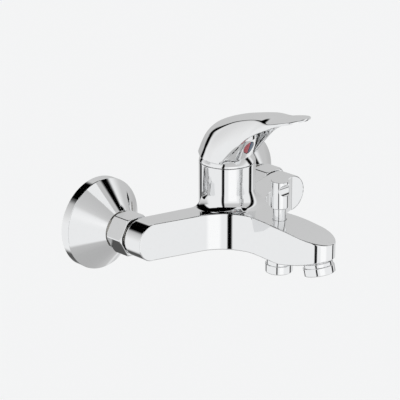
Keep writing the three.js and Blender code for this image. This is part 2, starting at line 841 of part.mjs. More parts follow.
function knobSolid() {
  const { radius, bottom, top, scoopRadius, scoopDepth, scoopBelowTop } = knob;
  const scoopY = -(radius + scoopRadius - scoopDepth);
  const scoopZ = top - scoopBelowTop;
  return cut(
    turned([
      [rod.radius + gap, bottom],
      [radius - chamfer, bottom],
      [radius, bottom + chamfer],
      [radius, top - chamfer],
      [radius - chamfer, top],
      [0, top],
      [0, bottom + 9],
      [rod.radius + gap, bottom + 9],
    ]),
    barBetween([-20, scoopY, scoopZ], [20, scoopY, scoopZ], scoopRadius, 32),
  );
}

function rodSolid() {
  const { radius, collarRadius, collarBottom, collarThickness } = rod;
  return turned(
    [
      [0, rodBottom],
      [radius, rodBottom],
      [radius, collarBottom],
      [collarRadius, collarBottom],
      [collarRadius, collarBottom + collarThickness],
      [radius, collarBottom + collarThickness],
      [radius, knob.bottom + 9 - gap],
      [0, knob.bottom + 9 - gap],
    ],
    24,
  );
}

const oRing = { middle: 3.1, wire: 0.6 };
const grooveBottom = bush.top - bush.headThickness + 1;
const grooveTop = grooveBottom + 2 * oRing.wire + 2 * gap;

function bushSolid() {
  const head = bush.top - bush.headThickness;
  return turned(
    [
      [bush.boreRadius, bush.bottom],
      [bush.radius, bush.bottom],
      [bush.radius, bush.top],
      [rod.radius + gap, bush.top],
      [rod.radius + gap, grooveTop],
      [oRing.middle + oRing.wire + gap, grooveTop],
      [oRing.middle + oRing.wire + gap, grooveBottom],
      [rod.radius + gap, grooveBottom],
      [rod.radius + gap, head],
      [bush.boreRadius, head],
    ],
    32,
  );
}

// The spring that pushes the rod's collar down, a wire along a helix.
function springSolid() {
  const wire = 0.3;
  const turns = 5;
  const bottom = rod.collarBottom + rod.collarThickness + gap + wire;
  const top = bush.top - bush.headThickness - gap - wire;
  const coilRadius = (rod.radius + bush.boreRadius) / 2;
  class Helix extends THREE.Curve {
    getPoint(t, target = new THREE.Vector3()) {
      const angle = 2 * Math.PI * turns * t;
      return target.set(
        coilRadius * Math.cos(angle),
        coilRadius * Math.sin(angle),
        bottom + (top - bottom) * t,
      );
    }
  }
  const section = new THREE.Shape();
  section.absarc(0, 0, wire, 0, 2 * Math.PI, false);
  const geometry = new THREE.ExtrudeGeometry(section, {
    steps: turns * 12,
    extrudePath: new Helix(),
    curveSegments: 3,
  });
  return solidOf(geometry);
}

function showerNippleSolid() {
  const { neckRadius, neck, radius, bottom, boreRadius, seatTop } = shower;
  const neckTop = -arm.radius - gap;
  const ringTop = neckTop - neck;
  const threadRadius = outlet.chamberRadius - gap;
  return turned([
    [boreRadius, bottom],
    [radius - chamfer, bottom],
    [radius, bottom + chamfer],
    [radius, ringTop - chamfer],
    [radius - chamfer, ringTop],
    [neckRadius, ringTop],
    [neckRadius, neckTop],
    [threadRadius, neckTop],
    [threadRadius, seatTop],
    [seat.radius, seatTop],
    [seat.radius, seatTop - 1.8],
    [boreRadius, seatTop - 1.8],
  ]);
}

function checkValveSolid() {
  const top = shower.seatTop - 1.8 - gap - 1;
  const bottom = shower.bottom + 2;
  const outer = shower.boreRadius - gap;
  const body = turned(ring(5, outer, bottom, top), 32);
  const arms = [0, 60, 120].map((angle) =>
    box(2 * (outer - 0.5), 1.2, 1.5, [0, 0, 0]).rotate([0, 0, angle]).translate([0, 0, bottom + 1.5]),
  );
  const stem = turned(bar(1.6, bottom + 0.8, top - 1), 16);
  return join(body, stem, ...arms);
}

function diverter() {
  const group = new THREE.Group();
  group.position.y = outlet.y;
  const washerRing = (bottom) =>
    turned(ring(rod.radius + gap, valve.radius, bottom, bottom + valve.plate), 32);
  const oRingOutline = Array.from({ length: 8 }, (_, i) => {
    const angle = (2 * Math.PI * i) / 8;
    const height = grooveBottom + gap + oRing.wire;
    return [oRing.middle + oRing.wire * Math.cos(angle), height + oRing.wire * Math.sin(angle)];
  });
  group.add(
    piece("diverter_knob", knobSolid(), "chrome"),
    piece("diverter_rod", rodSolid(), "steel"),
    piece("diverter_bush", bushSolid(), "chrome"),
    piece("diverter_o_ring", turned(oRingOutline, 32), "rubber"),
    piece("diverter_spring", springSolid(), "steel"),
    piece("diverter_plate", washerRing(valvePlateBottom), "brass"),
    piece("diverter_washer_lower", washerRing(lowerWasherBottom), "rubber"),
    piece("diverter_washer_upper", washerRing(upperWasherBottom), "rubber"),
    piece("shower_nipple", showerNippleSolid(), "chrome"),
    piece("shower_check_valve", checkValveSolid(), "plastic"),
  );
  return group;
}

// ---- Aerator, in a frame on its own tilted axis ---------------------------------------------------------------

function aeratorInsertSolid() {
  const { boreRadius, length, cellRadius, cellPitch } = aerator;
  const outer = boreRadius - gap;
  const rows = [-2, -1, 0, 1, 2];
  const cells = rows.flatMap((row) => {
    const count = 5 - Math.abs(row);
    return Array.from({ length: count }, (_, i) => {
      const x = (i - (count - 1) / 2) * cellPitch;
      const y = row * cellPitch * Math.sin(Math.PI / 3);
      return barBetween([x, y, -length], [x, y, 1], cellRadius, 6);
    });
  });
  return cut(turned(bar(outer, -length + 1.2, -1.2), 40), ...cells);
}

function aeratorGroup() {
  const { radius, collarRadius, length, threadRadius, thread, boreRadius } = aerator;
  const group = new THREE.Group();
  group.position.set(0, aerator.y, aerator.z);
  group.rotation.x = THREE.MathUtils.degToRad(-aerator.tilt);
  const shell = turned([
    [boreRadius, -length],
    [radius - chamfer, -length],
    [radius, -length + chamfer],
    [radius, -aerator.collar - chamfer],
    [radius - chamfer, -aerator.collar],
    [collarRadius, -aerator.collar],
    [collarRadius, -gap],
    [threadRadius, -gap],
    [threadRadius, thread],
    [boreRadius - 1.2, thread],
    [boreRadius - 1.2, -gap],
    [boreRadius, -gap],
  ]);
  const screen = turned(bar(boreRadius - gap, -0.9, -0.6), 32);
  const sealRing = ring(7.2, threadRadius, thread + gap, thread + 1.8);
  group.add(
    piece("aerator_shell", shell, "chrome"),
    piece("aerator_insert", aeratorInsertSolid(), "plastic"),
    piece("aerator_screen", screen, "steel"),
    piece("aerator_washer", turned(sealRing, 32), "rubber"),
  );
  return group;
}

// ---- The faucet -----------------------------------------------------------------------------------------------

const faucet = new THREE.Group();
faucet.add(
  wallConnection("left", -inlet.pitch / 2),
  wallConnection("right", inlet.pitch / 2),
  piece("body", bodySolid(), "chrome"),
  cartridge(),
  leverGroup(),
  diverter(),
  aeratorGroup(),
);

export default faucet;
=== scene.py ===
"""Looks of the wall mounted bath faucet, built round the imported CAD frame.

Lengths below are millimetres in the frame's own axes until a mesh is made, which turns them into metres.
"""

import json
import math

import bpy
import numpy as np
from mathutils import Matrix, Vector


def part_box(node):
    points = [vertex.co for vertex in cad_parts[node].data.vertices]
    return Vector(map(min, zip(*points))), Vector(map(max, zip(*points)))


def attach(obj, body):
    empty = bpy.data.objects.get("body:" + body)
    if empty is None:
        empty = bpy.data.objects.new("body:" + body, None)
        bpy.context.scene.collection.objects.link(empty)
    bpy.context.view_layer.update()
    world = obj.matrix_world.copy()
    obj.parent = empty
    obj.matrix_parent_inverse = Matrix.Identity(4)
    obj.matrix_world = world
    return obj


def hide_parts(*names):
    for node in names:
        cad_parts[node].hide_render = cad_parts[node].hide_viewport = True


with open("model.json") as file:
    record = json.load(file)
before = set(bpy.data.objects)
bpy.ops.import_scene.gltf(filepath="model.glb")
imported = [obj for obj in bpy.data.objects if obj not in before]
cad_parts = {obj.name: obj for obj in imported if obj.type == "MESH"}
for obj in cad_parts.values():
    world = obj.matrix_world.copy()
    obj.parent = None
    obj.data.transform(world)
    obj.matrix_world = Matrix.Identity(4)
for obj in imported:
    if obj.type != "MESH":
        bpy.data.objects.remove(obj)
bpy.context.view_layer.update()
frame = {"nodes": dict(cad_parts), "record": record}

MM = 0.001


# ---- Where the CAD nodes are ---------------------------------------------------------------------


def box_mm(node):
    low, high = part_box(node)
    return np.array(low) / MM, np.array(high) / MM


# ---- Fields: each is negative inside a solid and close to a distance in millimetres --------------


def larger(a, b, radius=0.0):
    """What two solids share, with its edge rounded."""
    if radius == 0:
        return np.maximum(a, b)
    corner = np.hypot(np.maximum(a + radius, 0), np.maximum(b + radius, 0))
    return np.minimum(np.maximum(a, b), -radius) + corner


def smaller(a, b, radius=0.0):
    """Two solids joined, with a fillet where they meet."""
    if radius == 0:
        return np.minimum(a, b)
    corner = np.hypot(np.maximum(radius - a, 0), np.maximum(radius - b, 0))
    return np.maximum(np.minimum(a, b), radius) - corner


def gradient(field, points, step=0.02):
    parts = []
    for axis in range(3):
        shift = np.zeros(3)
        shift[axis] = step
        ahead = field(*(points + shift).T)
        behind = field(*(points - shift).T)
        parts.append((ahead - behind) / (2 * step))
    return np.stack(parts, 1)


def skin(field, low, high, step):
    """Surface nets: a vertex in each cell that the field's zero runs through, moved on to that zero."""
    axes = [np.arange(low[i] - step, high[i] + 2 * step, step) for i in range(3)]
    grids = np.meshgrid(*axes, indexing="ij", sparse=True)
    inside = np.broadcast_to(field(*grids), [len(a) for a in axes]) < 0
    for axis in range(3):
        edge = np.moveaxis(inside, axis, 0)
        edge[0] = edge[-1] = False
    cells = np.zeros([n - 1 for n in inside.shape], np.int8)
    for i in (0, 1):
        for j in (0, 1):
            for k in (0, 1):
                cells += inside[i : i + cells.shape[0], j : j + cells.shape[1], k : k + cells.shape[2]]
    live = np.argwhere((cells > 0) & (cells < 8))
    number = np.full(cells.shape, -1, np.int64)
    number[tuple(live.T)] = np.arange(len(live))
    points = np.stack([axes[i][live[:, i]] + step / 2 for i in range(3)], 1)
    for _ in range(6):
        value = field(*points.T)
        slope = gradient(field, points)
        length2 = np.maximum((slope**2).sum(1), 0.05)
        move = -(value / length2)[:, None] * slope
        reach = np.linalg.norm(move, axis=1, keepdims=True)
        points = points + move * np.minimum(1, step / np.maximum(reach, 1e-9))
    faces = []
    for axis in range(3):
        b, c = [(1, 2), (2, 0), (0, 1)][axis]
        first = np.moveaxis(inside, axis, 0)[:-1]
        second = np.moveaxis(inside, axis, 0)[1:]
        change = np.argwhere(first != second)
        order = [axis, *[i for i in range(3) if i != axis]]
        at = np.empty_like(change)
        for column, real in enumerate(order):
            at[:, real] = change[:, column]
        goes_out = inside[tuple(at.T)]
        corners = []
        for db, dc in ((-1, -1), (0, -1), (0, 0), (-1, 0)):
            cell = at.copy()
            cell[:, b] += db
            cell[:, c] += dc
            corners.append(number[tuple(cell.T)])
        quads = np.stack(corners, 1)
        quads[~goes_out] = quads[~goes_out][:, ::-1]
        faces.append(quads)
    slope = gradient(field, points)
    normals = slope / np.maximum(np.linalg.norm(slope, axis=1, keepdims=True), 1e-9)
    return points, np.concatenate(faces), normals


# ---- Meshes --------------------------------------------------------------------------------------


def make_mesh(name, points, faces, normals):
    """A mesh object from millimetre points. Faces are rows of corners, and -1 fills a triangle's row."""
    mesh = bpy.data.meshes.new(name)
    mesh.from_pydata(
        (np.asarray(points) * MM).tolist(),
        [],
        [[int(v) for v in face if v >= 0] for face in faces],
    )
    mesh.update()
    mesh.polygons.foreach_set("use_smooth", [True] * len(mesh.polygons))
    if normals is not None:
        mesh.normals_split_custom_set_from_vertices(np.asarray(normals).tolist())
    obj = bpy.data.objects.new(name, mesh)
    bpy.context.scene.collection.objects.link(obj)
    return obj


def piece(name, shape, material, body, slot, *nodes):
    obj = make_mesh(name, *shape)
    obj.data.materials.append(material)
    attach(obj, body)
    if nodes:
        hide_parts(*nodes)
    return obj


def joined(*shapes):
    """Several shapes as one."""
    points, faces, normals, count = [], [], [], 0
    for p, f, n in shapes:
        f = np.asarray(f)
        if f.shape[1] == 3:
            f = np.column_stack([f, np.full(len(f), -1)])
        points.append(p)
        faces.append(np.where(f >= 0, f + count, -1))
        normals.append(n)
        count += len(p)
    return np.concatenate(points), np.concatenate(faces), np.concatenate(normals)


def face_normals(points, faces):
    """Vertex normals, each the mean of its faces by area."""
    faces = np.asarray(faces)
    total = np.zeros_like(points)
    a, b, c = (points[faces[:, i]] for i in range(3))
    d = points[np.where(faces[:, 3] >= 0, faces[:, 3], faces[:, 0])]
    area = np.cross(c - a, d - b)
    for i in range(4):
        use = faces[:, i] >= 0
        np.add.at(total, faces[use, i], area[use])
    return total / np.maximum(np.linalg.norm(total, axis=1, keepdims=True), 1e-12)


def placed(shape, turn, shift):
    """A shape moved by a 3x3 turn and a shift."""
    points, faces, normals = shape
    turn = np.array(turn, float)
    if np.linalg.det(turn) < 0:
        faces = np.array([[f[0], f[3], f[2], f[1]] if f[3] >= 0 else [f[0], f[2], f[1], -1] for f in faces])
    return points @ turn.T + np.array(shift, float), faces, normals @ turn.T


UPRIGHT = np.eye(3)


def round_profile(corners, steps=5):
    """Points and normals round (radius, height, rounding) corners; the outside is right of travel."""
    rows = []
    for i, (r, h, rounding) in enumerate(corners):
        here = np.array([r, h], float)
        before = np.array(corners[i - 1][:2], float) if i else None
        after = np.array(corners[i + 1][:2], float) if i + 1 < len(corners) else None
        sides = [(here - q) / np.linalg.norm(here - q) if q is not None else None for q in (before, after)]
        way_in = sides[0]
        way_out = -sides[1] if sides[1] is not None else None
        if way_in is None or way_out is None or rounding == 0:
            for way in (way_in, way_out):
                if way is not None:
                    rows.append((*here, way[1], -way[0]))
            continue
        bend = math.acos(float(np.clip(way_in @ way_out, -1, 1)))
        reach = rounding * math.tan(bend / 2)
        turn = np.sign(way_in[0] * way_out[1] - way_in[1] * way_out[0])
        centre = here - way_in * reach + turn * rounding * np.array([-way_in[1], way_in[0]])
        start = np.array([way_in[1], -way_in[0]])
        for k in range(steps + 1):
            angle = turn * bend * k / steps
            c, s = math.cos(angle), math.sin(angle)
            normal = np.array([c * start[0] - s * start[1], s * start[0] + c * start[1]])
            rows.append((*(centre + turn * rounding * normal), *normal))
    return np.array(rows)


def lathe(corners, segments=128, steps=5):
    """A surface of revolution about Z. Its outline runs anticlockwise in (radius, height)."""
    rows = round_profile(corners, steps)
    angles = 2 * math.pi * np.arange(segments) / segments
    c, s = np.cos(angles), np.sin(angles)
    points = np.stack(
        [rows[:, 0:1] * c, rows[:, 0:1] * s, np.repeat(rows[:, 1:2], segments, 1)], 2
    ).reshape(-1, 3)
    normals = np.stack(
        [rows[:, 2:3] * c, rows[:, 2:3] * s, np.repeat(rows[:, 3:4], segments, 1)], 2
    ).reshape(-1, 3)
    faces = []
    for i in range(len(rows) - 1):
        if np.allclose(rows[i, :2], rows[i + 1, :2], atol=1e-7):
            continue
        a = i * segments + np.arange(segments)
        b = i * segments + (np.arange(segments) + 1) % segments
        faces.append(np.stack([a, b, b + segments, a + segments], 1))
    return points, np.concatenate(faces), normals


def closed(corners):
    """The same outline, brought back to where it began."""
    (r0, h0, _), (r1, h1, _) = corners[0], corners[1]
    middle = ((r0 + r1) / 2, (h0 + h1) / 2, 0)
    return [middle, *corners[1:], corners[0], middle]


def thread(radius, depth, pitch, low, high, segments=96):
    """The outside of a screw thread about Z, fading out at both ends."""
    rows = int((high - low) / pitch * 10) + 1
    heights = np.linspace(low, high, rows)
    angles = 2 * math.pi * np.arange(segments) / segments
    h, a = np.meshgrid(heights, angles, indexing="ij")
    phase = (h / pitch - a / (2 * math.pi)) % 1
    wave = np.clip(1.35 * np.abs(2 * phase - 1) - 0.175, 0, 1)
    fade = np.clip(np.minimum(h - low, high - h) / pitch, 0, 1)
    r = radius - depth * (1 - wave * fade)
    points = np.stack([r * np.cos(a), r * np.sin(a), h], 2).reshape(-1, 3)
    faces = []
    for i in range(rows - 1):
        p = i * segments + np.arange(segments)
        q = i * segments + (np.arange(segments) + 1) % segments
        faces.append(np.stack([p, q, q + segments, p + segments], 1))
    faces = np.concatenate(faces)
    return points, faces, face_normals(points, faces)


# ---- Materials -----------------------------------------------------------------------------------


def shader(name, colour, metallic, roughness, rough_spread, bump, scale, coat=0.0):
    """A principled material with wear: its roughness and its surface vary with two sizes of noise."""
    material = bpy.data.materials.new(name)
    material.use_nodes = True
    nodes, links = material.node_tree.nodes, material.node_tree.links
    principled = nodes["Principled BSDF"]
    principled.inputs["Metallic"].default_value = metallic
    principled.inputs["Coat Weight"].default_value = coat
    place = nodes.new("ShaderNodeTexCoord")
    broad = nodes.new("ShaderNodeTexNoise")
    broad.inputs["Scale"].default_value = scale
    broad.inputs["Detail"].default_value = 4
    fine = nodes.new("ShaderNodeTexNoise")
    fine.inputs["Scale"].default_value = scale * 9
    fine.inputs["Detail"].default_value = 3
    for noise in (broad, fine):
        links.new(place.outputs["Object"], noise.inputs["Vector"])
    rough = nodes.new("ShaderNodeMapRange")
    rough.inputs["From Min"].default_value = 0.3
    rough.inputs["From Max"].default_value = 0.7
    rough.inputs["To Min"].default_value = roughness - rough_spread
    rough.inputs["To Max"].default_value = roughness + rough_spread
    links.new(broad.outputs["Fac"], rough.inputs["Value"])
    links.new(rough.outputs["Result"], principled.inputs["Roughness"])
    tint = nodes.new("ShaderNodeMix")
    tint.data_type = "RGBA"
    tint.inputs["A"].default_value = (*[c * 0.985 for c in colour], 1)
    tint.inputs["B"].default_value = (*[min(1, c * 1.015) for c in colour], 1)
    links.new(fine.outputs["Fac"], tint.inputs["Factor"])
    links.new(tint.outputs["Result"], principled.inputs["Base Color"])
    relief = nodes.new("ShaderNodeBump")
    relief.inputs["Strength"].default_value = bump
    relief.inputs["Distance"].default_value = 0.0002
    links.new(fine.outputs["Fac"], relief.inputs["Height"])
    links.new(relief.outputs["Normal"], principled.inputs["Normal"])
    return material


CHROME = shader("chrome", (0.83, 0.835, 0.84), 1, 0.04, 0.012, 0.01, 40)
FINISHES = {
    "chrome": CHROME,
    "nickel_plate": shader("nickel_plate", (0.62, 0.6, 0.56), 1, 0.26, 0.06, 0.1, 60),
    "brass": shader("brass", (0.72, 0.54, 0.25), 1, 0.3, 0.06, 0.12, 60),
    "steel": shader("steel", (0.6, 0.61, 0.62), 1, 0.24, 0.05, 0.1, 80),
    "ceramic": shader("ceramic", (0.86, 0.84, 0.8), 0, 0.3, 0.05, 0.05, 50),
    "plastic": shader("plastic", (0.3, 0.31, 0.33), 0, 0.45, 0.06, 0.15, 70),
    "rubber": shader("rubber", (0.02, 0.02, 0.022), 0, 0.75, 0.08, 0.3, 90),
    "hot_red": shader("hot_red", (0.42, 0.07, 0.09), 0, 0.2, 0.04, 0.03, 50, 0.3),
    "cold_blue": shader("cold_blue", (0.01, 0.055, 0.12), 0, 0.2, 0.04, 0.03, 50, 0.3),
}


# ---- Body ----------------------------------------------------------------------------------------

INLET_X = 75.0
ARM_RADIUS = 14.5
ARM_BACK, ARM_FRONT = -46.5, -63.4
BACK_SLOPE, FRONT_SLOPE = 0.27, 0.32
BACK_STRAIGHT = 7.0
CROTCH = 23.0
EDGE = 0.85
HOUSING_Y, HOUSING_R, HOUSING_TOP = -65.7, 21.7, 47.2
FLARE_TOP, FLARE = 26.5, 9.5
NECK_HALF, TIP_HALF = 13.1, 15.1
WIDEN_FROM, WIDEN_TO = -103.0, -136.0
TIP_CENTRE, TIP_REACH = -149.5, 24.0
TIP_Y = TIP_CENTRE - TIP_REACH
TOP_BEND, TIP_TOP = -115.0, 8.2
BOTTOM_BEND, TIP_BOTTOM = -132.0, -3.8
OUTLET_Y = -120.8


def plan_field(x, y):
    side = np.abs(x)
    front = (ARM_FRONT - FRONT_SLOPE * (INLET_X - side) - y) / math.hypot(1, FRONT_SLOPE)
    past_end = np.maximum(side - INLET_X, 0)
    front = front - past_end * FRONT_SLOPE / math.hypot(1, FRONT_SLOPE)
    back_line = ARM_BACK - BACK_SLOPE * np.maximum(INLET_X - BACK_STRAIGHT - side, 0)
    back = (y - back_line) / math.hypot(1, BACK_SLOPE)
    t = np.clip((WIDEN_FROM - y) / (WIDEN_FROM - WIDEN_TO), 0, 1)
    half = NECK_HALF + (TIP_HALF - NECK_HALF) * t * t * (3 - 2 * t)
    straight = side - half
    across, along = x / TIP_HALF, (y - TIP_CENTRE) / TIP_REACH
    oval = np.hypot(across, along)
    tip = (oval - 1) * oval / np.maximum(np.hypot(across / TIP_HALF, along / TIP_REACH), 1e-3)
    spout = np.where(y < TIP_CENTRE, tip, straight)
    return larger(smaller(front, spout, CROTCH), back, 0.4)


def level_field(x, y, z):
    """How high and low the body reaches: round arm ends and a spout that thins to its tip."""
    past_end = np.maximum(np.abs(x) - INLET_X, 0)
    arms = np.hypot(past_end, z) - ARM_RADIUS
    reach = TOP_BEND - TIP_Y + 1
    t = np.clip((TOP_BEND - y) / reach, 0, 1.2)
    top = z - (ARM_RADIUS - (ARM_RADIUS - TIP_TOP) * t * t)
    drop = np.maximum(BOTTOM_BEND - y, 0)
    bend, total = 14.0, BOTTOM_BEND - TIP_Y + 1
    rest = total - bend
    s = (-bend + np.sqrt(bend**2 + 4 * rest * drop)) / (2 * rest)
    bottom = (-ARM_RADIUS + (ARM_RADIUS + TIP_BOTTOM) * np.minimum(s, 1.2) ** 2) - z
    return np.maximum(arms, np.maximum(top, bottom))


def housing_field(x, y, z):
    wall = np.hypot(x, y - HOUSING_Y) - HOUSING_R
    return larger(wall, np.maximum(z - HOUSING_TOP, -z - 10), 0.5)


def flare_field(x, y, z, plan):
    out = np.hypot(x, y - HOUSING_Y) - HOUSING_R - FLARE
    rise = FLARE_TOP - ARM_RADIUS
    a = out / FLARE
    b = (z - FLARE_TOP) / rise
    e = np.hypot(a, b)
    slope = np.sqrt((a / FLARE) ** 2 + (b / rise) ** 2) / np.maximum(e, 1e-6)
    curve = (1 - e) / np.maximum(slope, 1e-3)
    return np.maximum(larger(curve, plan, EDGE), np.maximum(np.maximum(out, z - FLARE_TOP), 13 - z))


def hollow_field(x, y, z):
    """The cartridge's hole, the outlet's chamber, the aerator's hole and the two inlets."""
    from_axis = np.hypot(x, y - HOUSING_Y)
    wide = np.where(z > 33, 19.3, 17.8)
    cartridge = np.maximum(from_axis - wide, 4.5 - z)
    chamber = np.maximum(np.hypot(x, y - OUTLET_Y) - 9.3, z - 5)
    stem = np.hypot(x, y - OUTLET_Y) - 5.3
    inlet = np.maximum(np.hypot(np.abs(x) - INLET_X, z) - 10.7, -58.1 - y)
    c, s = math.cos(math.radians(14)), math.sin(math.radians(14))
    along = (y + 160) * -s + (z + 8.4) * c
    across = (y + 160) * c + (z + 8.4) * s
    aerator = np.maximum(np.hypot(x, across) - 10.3, along - 7.5)
    return smaller(smaller(np.minimum(cartridge, chamber), stem), np.minimum(inlet, aerator))


def body_field(x, y, z):
    plan = plan_field(x, y)
    base = larger(plan, level_field(x, y, z), EDGE)
    solid = np.minimum(np.minimum(base, housing_field(x, y, z)), flare_field(x, y, z, plan))
    return np.maximum(solid, -hollow_field(x, y, z))


def build_body():
    low, high = box_mm("body")
    step = 0.7
    piece("faucet_body_skin", skin(body_field, low, high, step), CHROME, "faucet_body", "chrome", "body")


# ---- Wall connections ----------------------------------------------------------------------------

ESCUTCHEON_R, RIM, DEPTH, SHEET, NECK_R = 35.8, 7.2, 26.7, 1.3, 15.2
NUT_FLATS, NUT_LENGTH, NUT_FRONT, NUT_EDGE = 29.2, 16.0, 44.5, 1.4


def from_wall(shape, x):
    """A shape turned about Z as if the wall were the floor, stood out from the wall on an inlet's axis."""
    turn = np.array([[1, 0, 0], [0, 0, -1], [0, 1, 0]], float)
    return placed(shape, turn, (x, 0, 0))


def escutcheon_shape():
    slope = math.atan2(ESCUTCHEON_R - NECK_R, DEPTH - RIM)
    back = SHEET * math.tan(slope / 2)
    return lathe(
        closed(
            [
                (ESCUTCHEON_R - SHEET, 0, 0.15),
                (ESCUTCHEON_R, 0, 0.25),
                (ESCUTCHEON_R, RIM, 0.9),
                (NECK_R, DEPTH, 0.25),
                (NECK_R - SHEET, DEPTH, 0.25),
                (NECK_R - SHEET, DEPTH - back, 0.2),
                (ESCUTCHEON_R - SHEET, RIM - back, 0.4),
            ]
        ),
        192,
    )


def nut_field(x, y, z):
    """A hexagon nut along Z with rounded ends and flats up and down, bored for its thread."""
    half = NUT_FLATS / 2
    flats = [np.abs(x * math.cos(a) + y * math.sin(a)) - half for a in np.radians([0, 60, 120])]
    hexagon = larger(larger(flats[0], flats[1], 0.5), flats[2], 0.5)
    from_axis = np.hypot(x, y)
    corner = NUT_FLATS / math.sqrt(3)
    low, high = NUT_FRONT - NUT_LENGTH, NUT_FRONT
    ends = np.maximum(z - high, low - z)
    chamfer = (from_axis - corner + NUT_EDGE + np.maximum(z - high, low - z)) / math.sqrt(2)
    solid = larger(larger(hexagon, ends, 0.35), chamfer, 0.3)
    bore = np.where(z < high - 3, 13.5, 10.7) - from_axis
    return np.maximum(solid, bore)


def nipple_shape():
    return lathe(
        closed(
            [
                (7.5, 38.7, 0.1),
                (12.8, 38.7, 0.3),
                (12.8, 41.2, 0.3),
                (10.4, 41.2, 0.2),
                (10.4, 57.5, 0.4),
                (7.5, 57.5, 0.2),
            ]
        )
    )


def s_union_shape():
    """The eccentric connector: a pipe thread in the wall, and the nut's thread 10 mm higher."""
    low_thread = placed(thread(10.45, 0.55, 1.814, -19.2, -4), UPRIGHT, (0, 10, 0))
    end_profile = [(6.5, -14, 0), (6.5, -20, 0.3), (9.9, -20, 0.5), (9.9, -19.2, 0)]
    end = placed(lathe(end_profile, 96), UPRIGHT, (0, 10, 0))
    bore = placed(lathe([(6.5, 9, 0), (6.5, -14, 0)], 96), UPRIGHT, (0, 10, 0))
    high_thread = thread(13.2, 0.6, 1.814, 13, 35.1)
    nose = lathe([(12.6, 35.1, 0), (12.6, 35.6, 0.2), (7.5, 35.6, 0.3), (7.5, 8, 0)], 96)

    def link_field(x, y, z):
        upper = np.hypot(x, y) - 13.2
        lower = np.hypot(x, y - 10) - 11.65
        both = smaller(upper, lower, 8)
        near_bore = np.maximum(np.hypot(x, y) - 7.5, 7 - z)
        wall_bore = np.maximum(np.hypot(x, y - 10) - 6.5, z - 10)
        bores = np.minimum(near_bore, wall_bore)
        return np.maximum(larger(both, np.maximum(z - 13, 4 - z), 0.6), -bores)

    link = skin(link_field, (-13.3, -13.3, 3.6), (13.3, 21.8, 13.2), 0.7)
    neck = lathe([(10.4, -4.2, 0), (11.0, 4.2, 0)], 96)
    neck = placed(neck, UPRIGHT, (0, 10, 0))
    shape = joined(low_thread, end, bore, high_thread, nose, link, neck)
    return placed(shape, np.diag([1, -1, 1]), (0, 0, 0))


def build_wall_connections():
    escutcheon = escutcheon_shape()
    nut = skin(nut_field, (-17, -17, NUT_FRONT - NUT_LENGTH), (17, 17, NUT_FRONT), 0.4)
    flat_up = np.array([[0, -1, 0], [1, 0, 0], [0, 0, 1]], float)
    nut = placed(nut, flat_up, (0, 0, 0))
    nipple = nipple_shape()
    s_union = s_union_shape()
    for side, x in (("left", -INLET_X), ("right", INLET_X)):
        finishes = FINISHES["nickel_plate"]
        bell = from_wall(escutcheon, x)
        piece("escutcheon_bell_" + side, bell, CHROME, "faucet_body", "chrome", "escutcheon_" + side)
        piece("hex_nut_" + side, from_wall(nut, x), CHROME, "faucet_body", "chrome", "union_nut_" + side)
        tube = from_wall(nipple, x)
        piece("nipple_" + side, tube, finishes, "faucet_body", "nickel_plate", "inlet_nipple_" + side)
        union = from_wall(s_union, x)
        piece("wall_union_" + side, union, finishes, "faucet_body", "nickel_plate", "s_union_" + side)


# ---- Cartridge cap -------------------------------------------------------------------------------

PIVOT = np.array([0, -65.7, 38.0])
BALL = 24.0
BALL_GAP = 0.35


DOME_WALL = 1.8
DOME_SKIRT, DOME_BOTTOM = 19.0, 42.7
DOME_OPENING = 16


def build_dome():
    arc_steps = 12
    top = HOUSING_TOP + 0.3
    inside = BALL - DOME_WALL
    inner_skirt = DOME_SKIRT - DOME_WALL
    outer = min(math.sqrt(BALL**2 - (top - PIVOT[2]) ** 2), HOUSING_R)
    start, end = math.asin(outer / BALL), math.asin(DOME_OPENING / BALL)
    rows = [
        (inner_skirt, DOME_BOTTOM, 0),
        (DOME_SKIRT, DOME_BOTTOM, 0.2),
        (DOME_SKIRT, top, 0),
        (outer, top, 0.3),
    ]
    for i in range(1, arc_steps + 1):
        a = start + (end - start) * i / arc_steps
        rows.append((BALL * math.sin(a), PIVOT[2] + BALL * math.cos(a), 0.3))
    start, end = math.asin(DOME_OPENING / inside), math.asin(inner_skirt / inside)
    for i in range(arc_steps + 1):
        a = start + (end - start) * i / arc_steps
        rounding = 0.2 if i in (0, arc_steps) else 0.3
        rows.append((inside * math.sin(a), PIVOT[2] + inside * math.cos(a), rounding))
    rows.append((inner_skirt, DOME_BOTTOM, 0))
    shape = placed(lathe(rows, 128, 3), UPRIGHT, (0, PIVOT[1], 0))
    piece("cartridge_dome", shape, CHROME, "faucet_body", "chrome", "dome_cap")


# ---- Lever: x sideways, f forward and h up from the tilt axis ------------------------------------

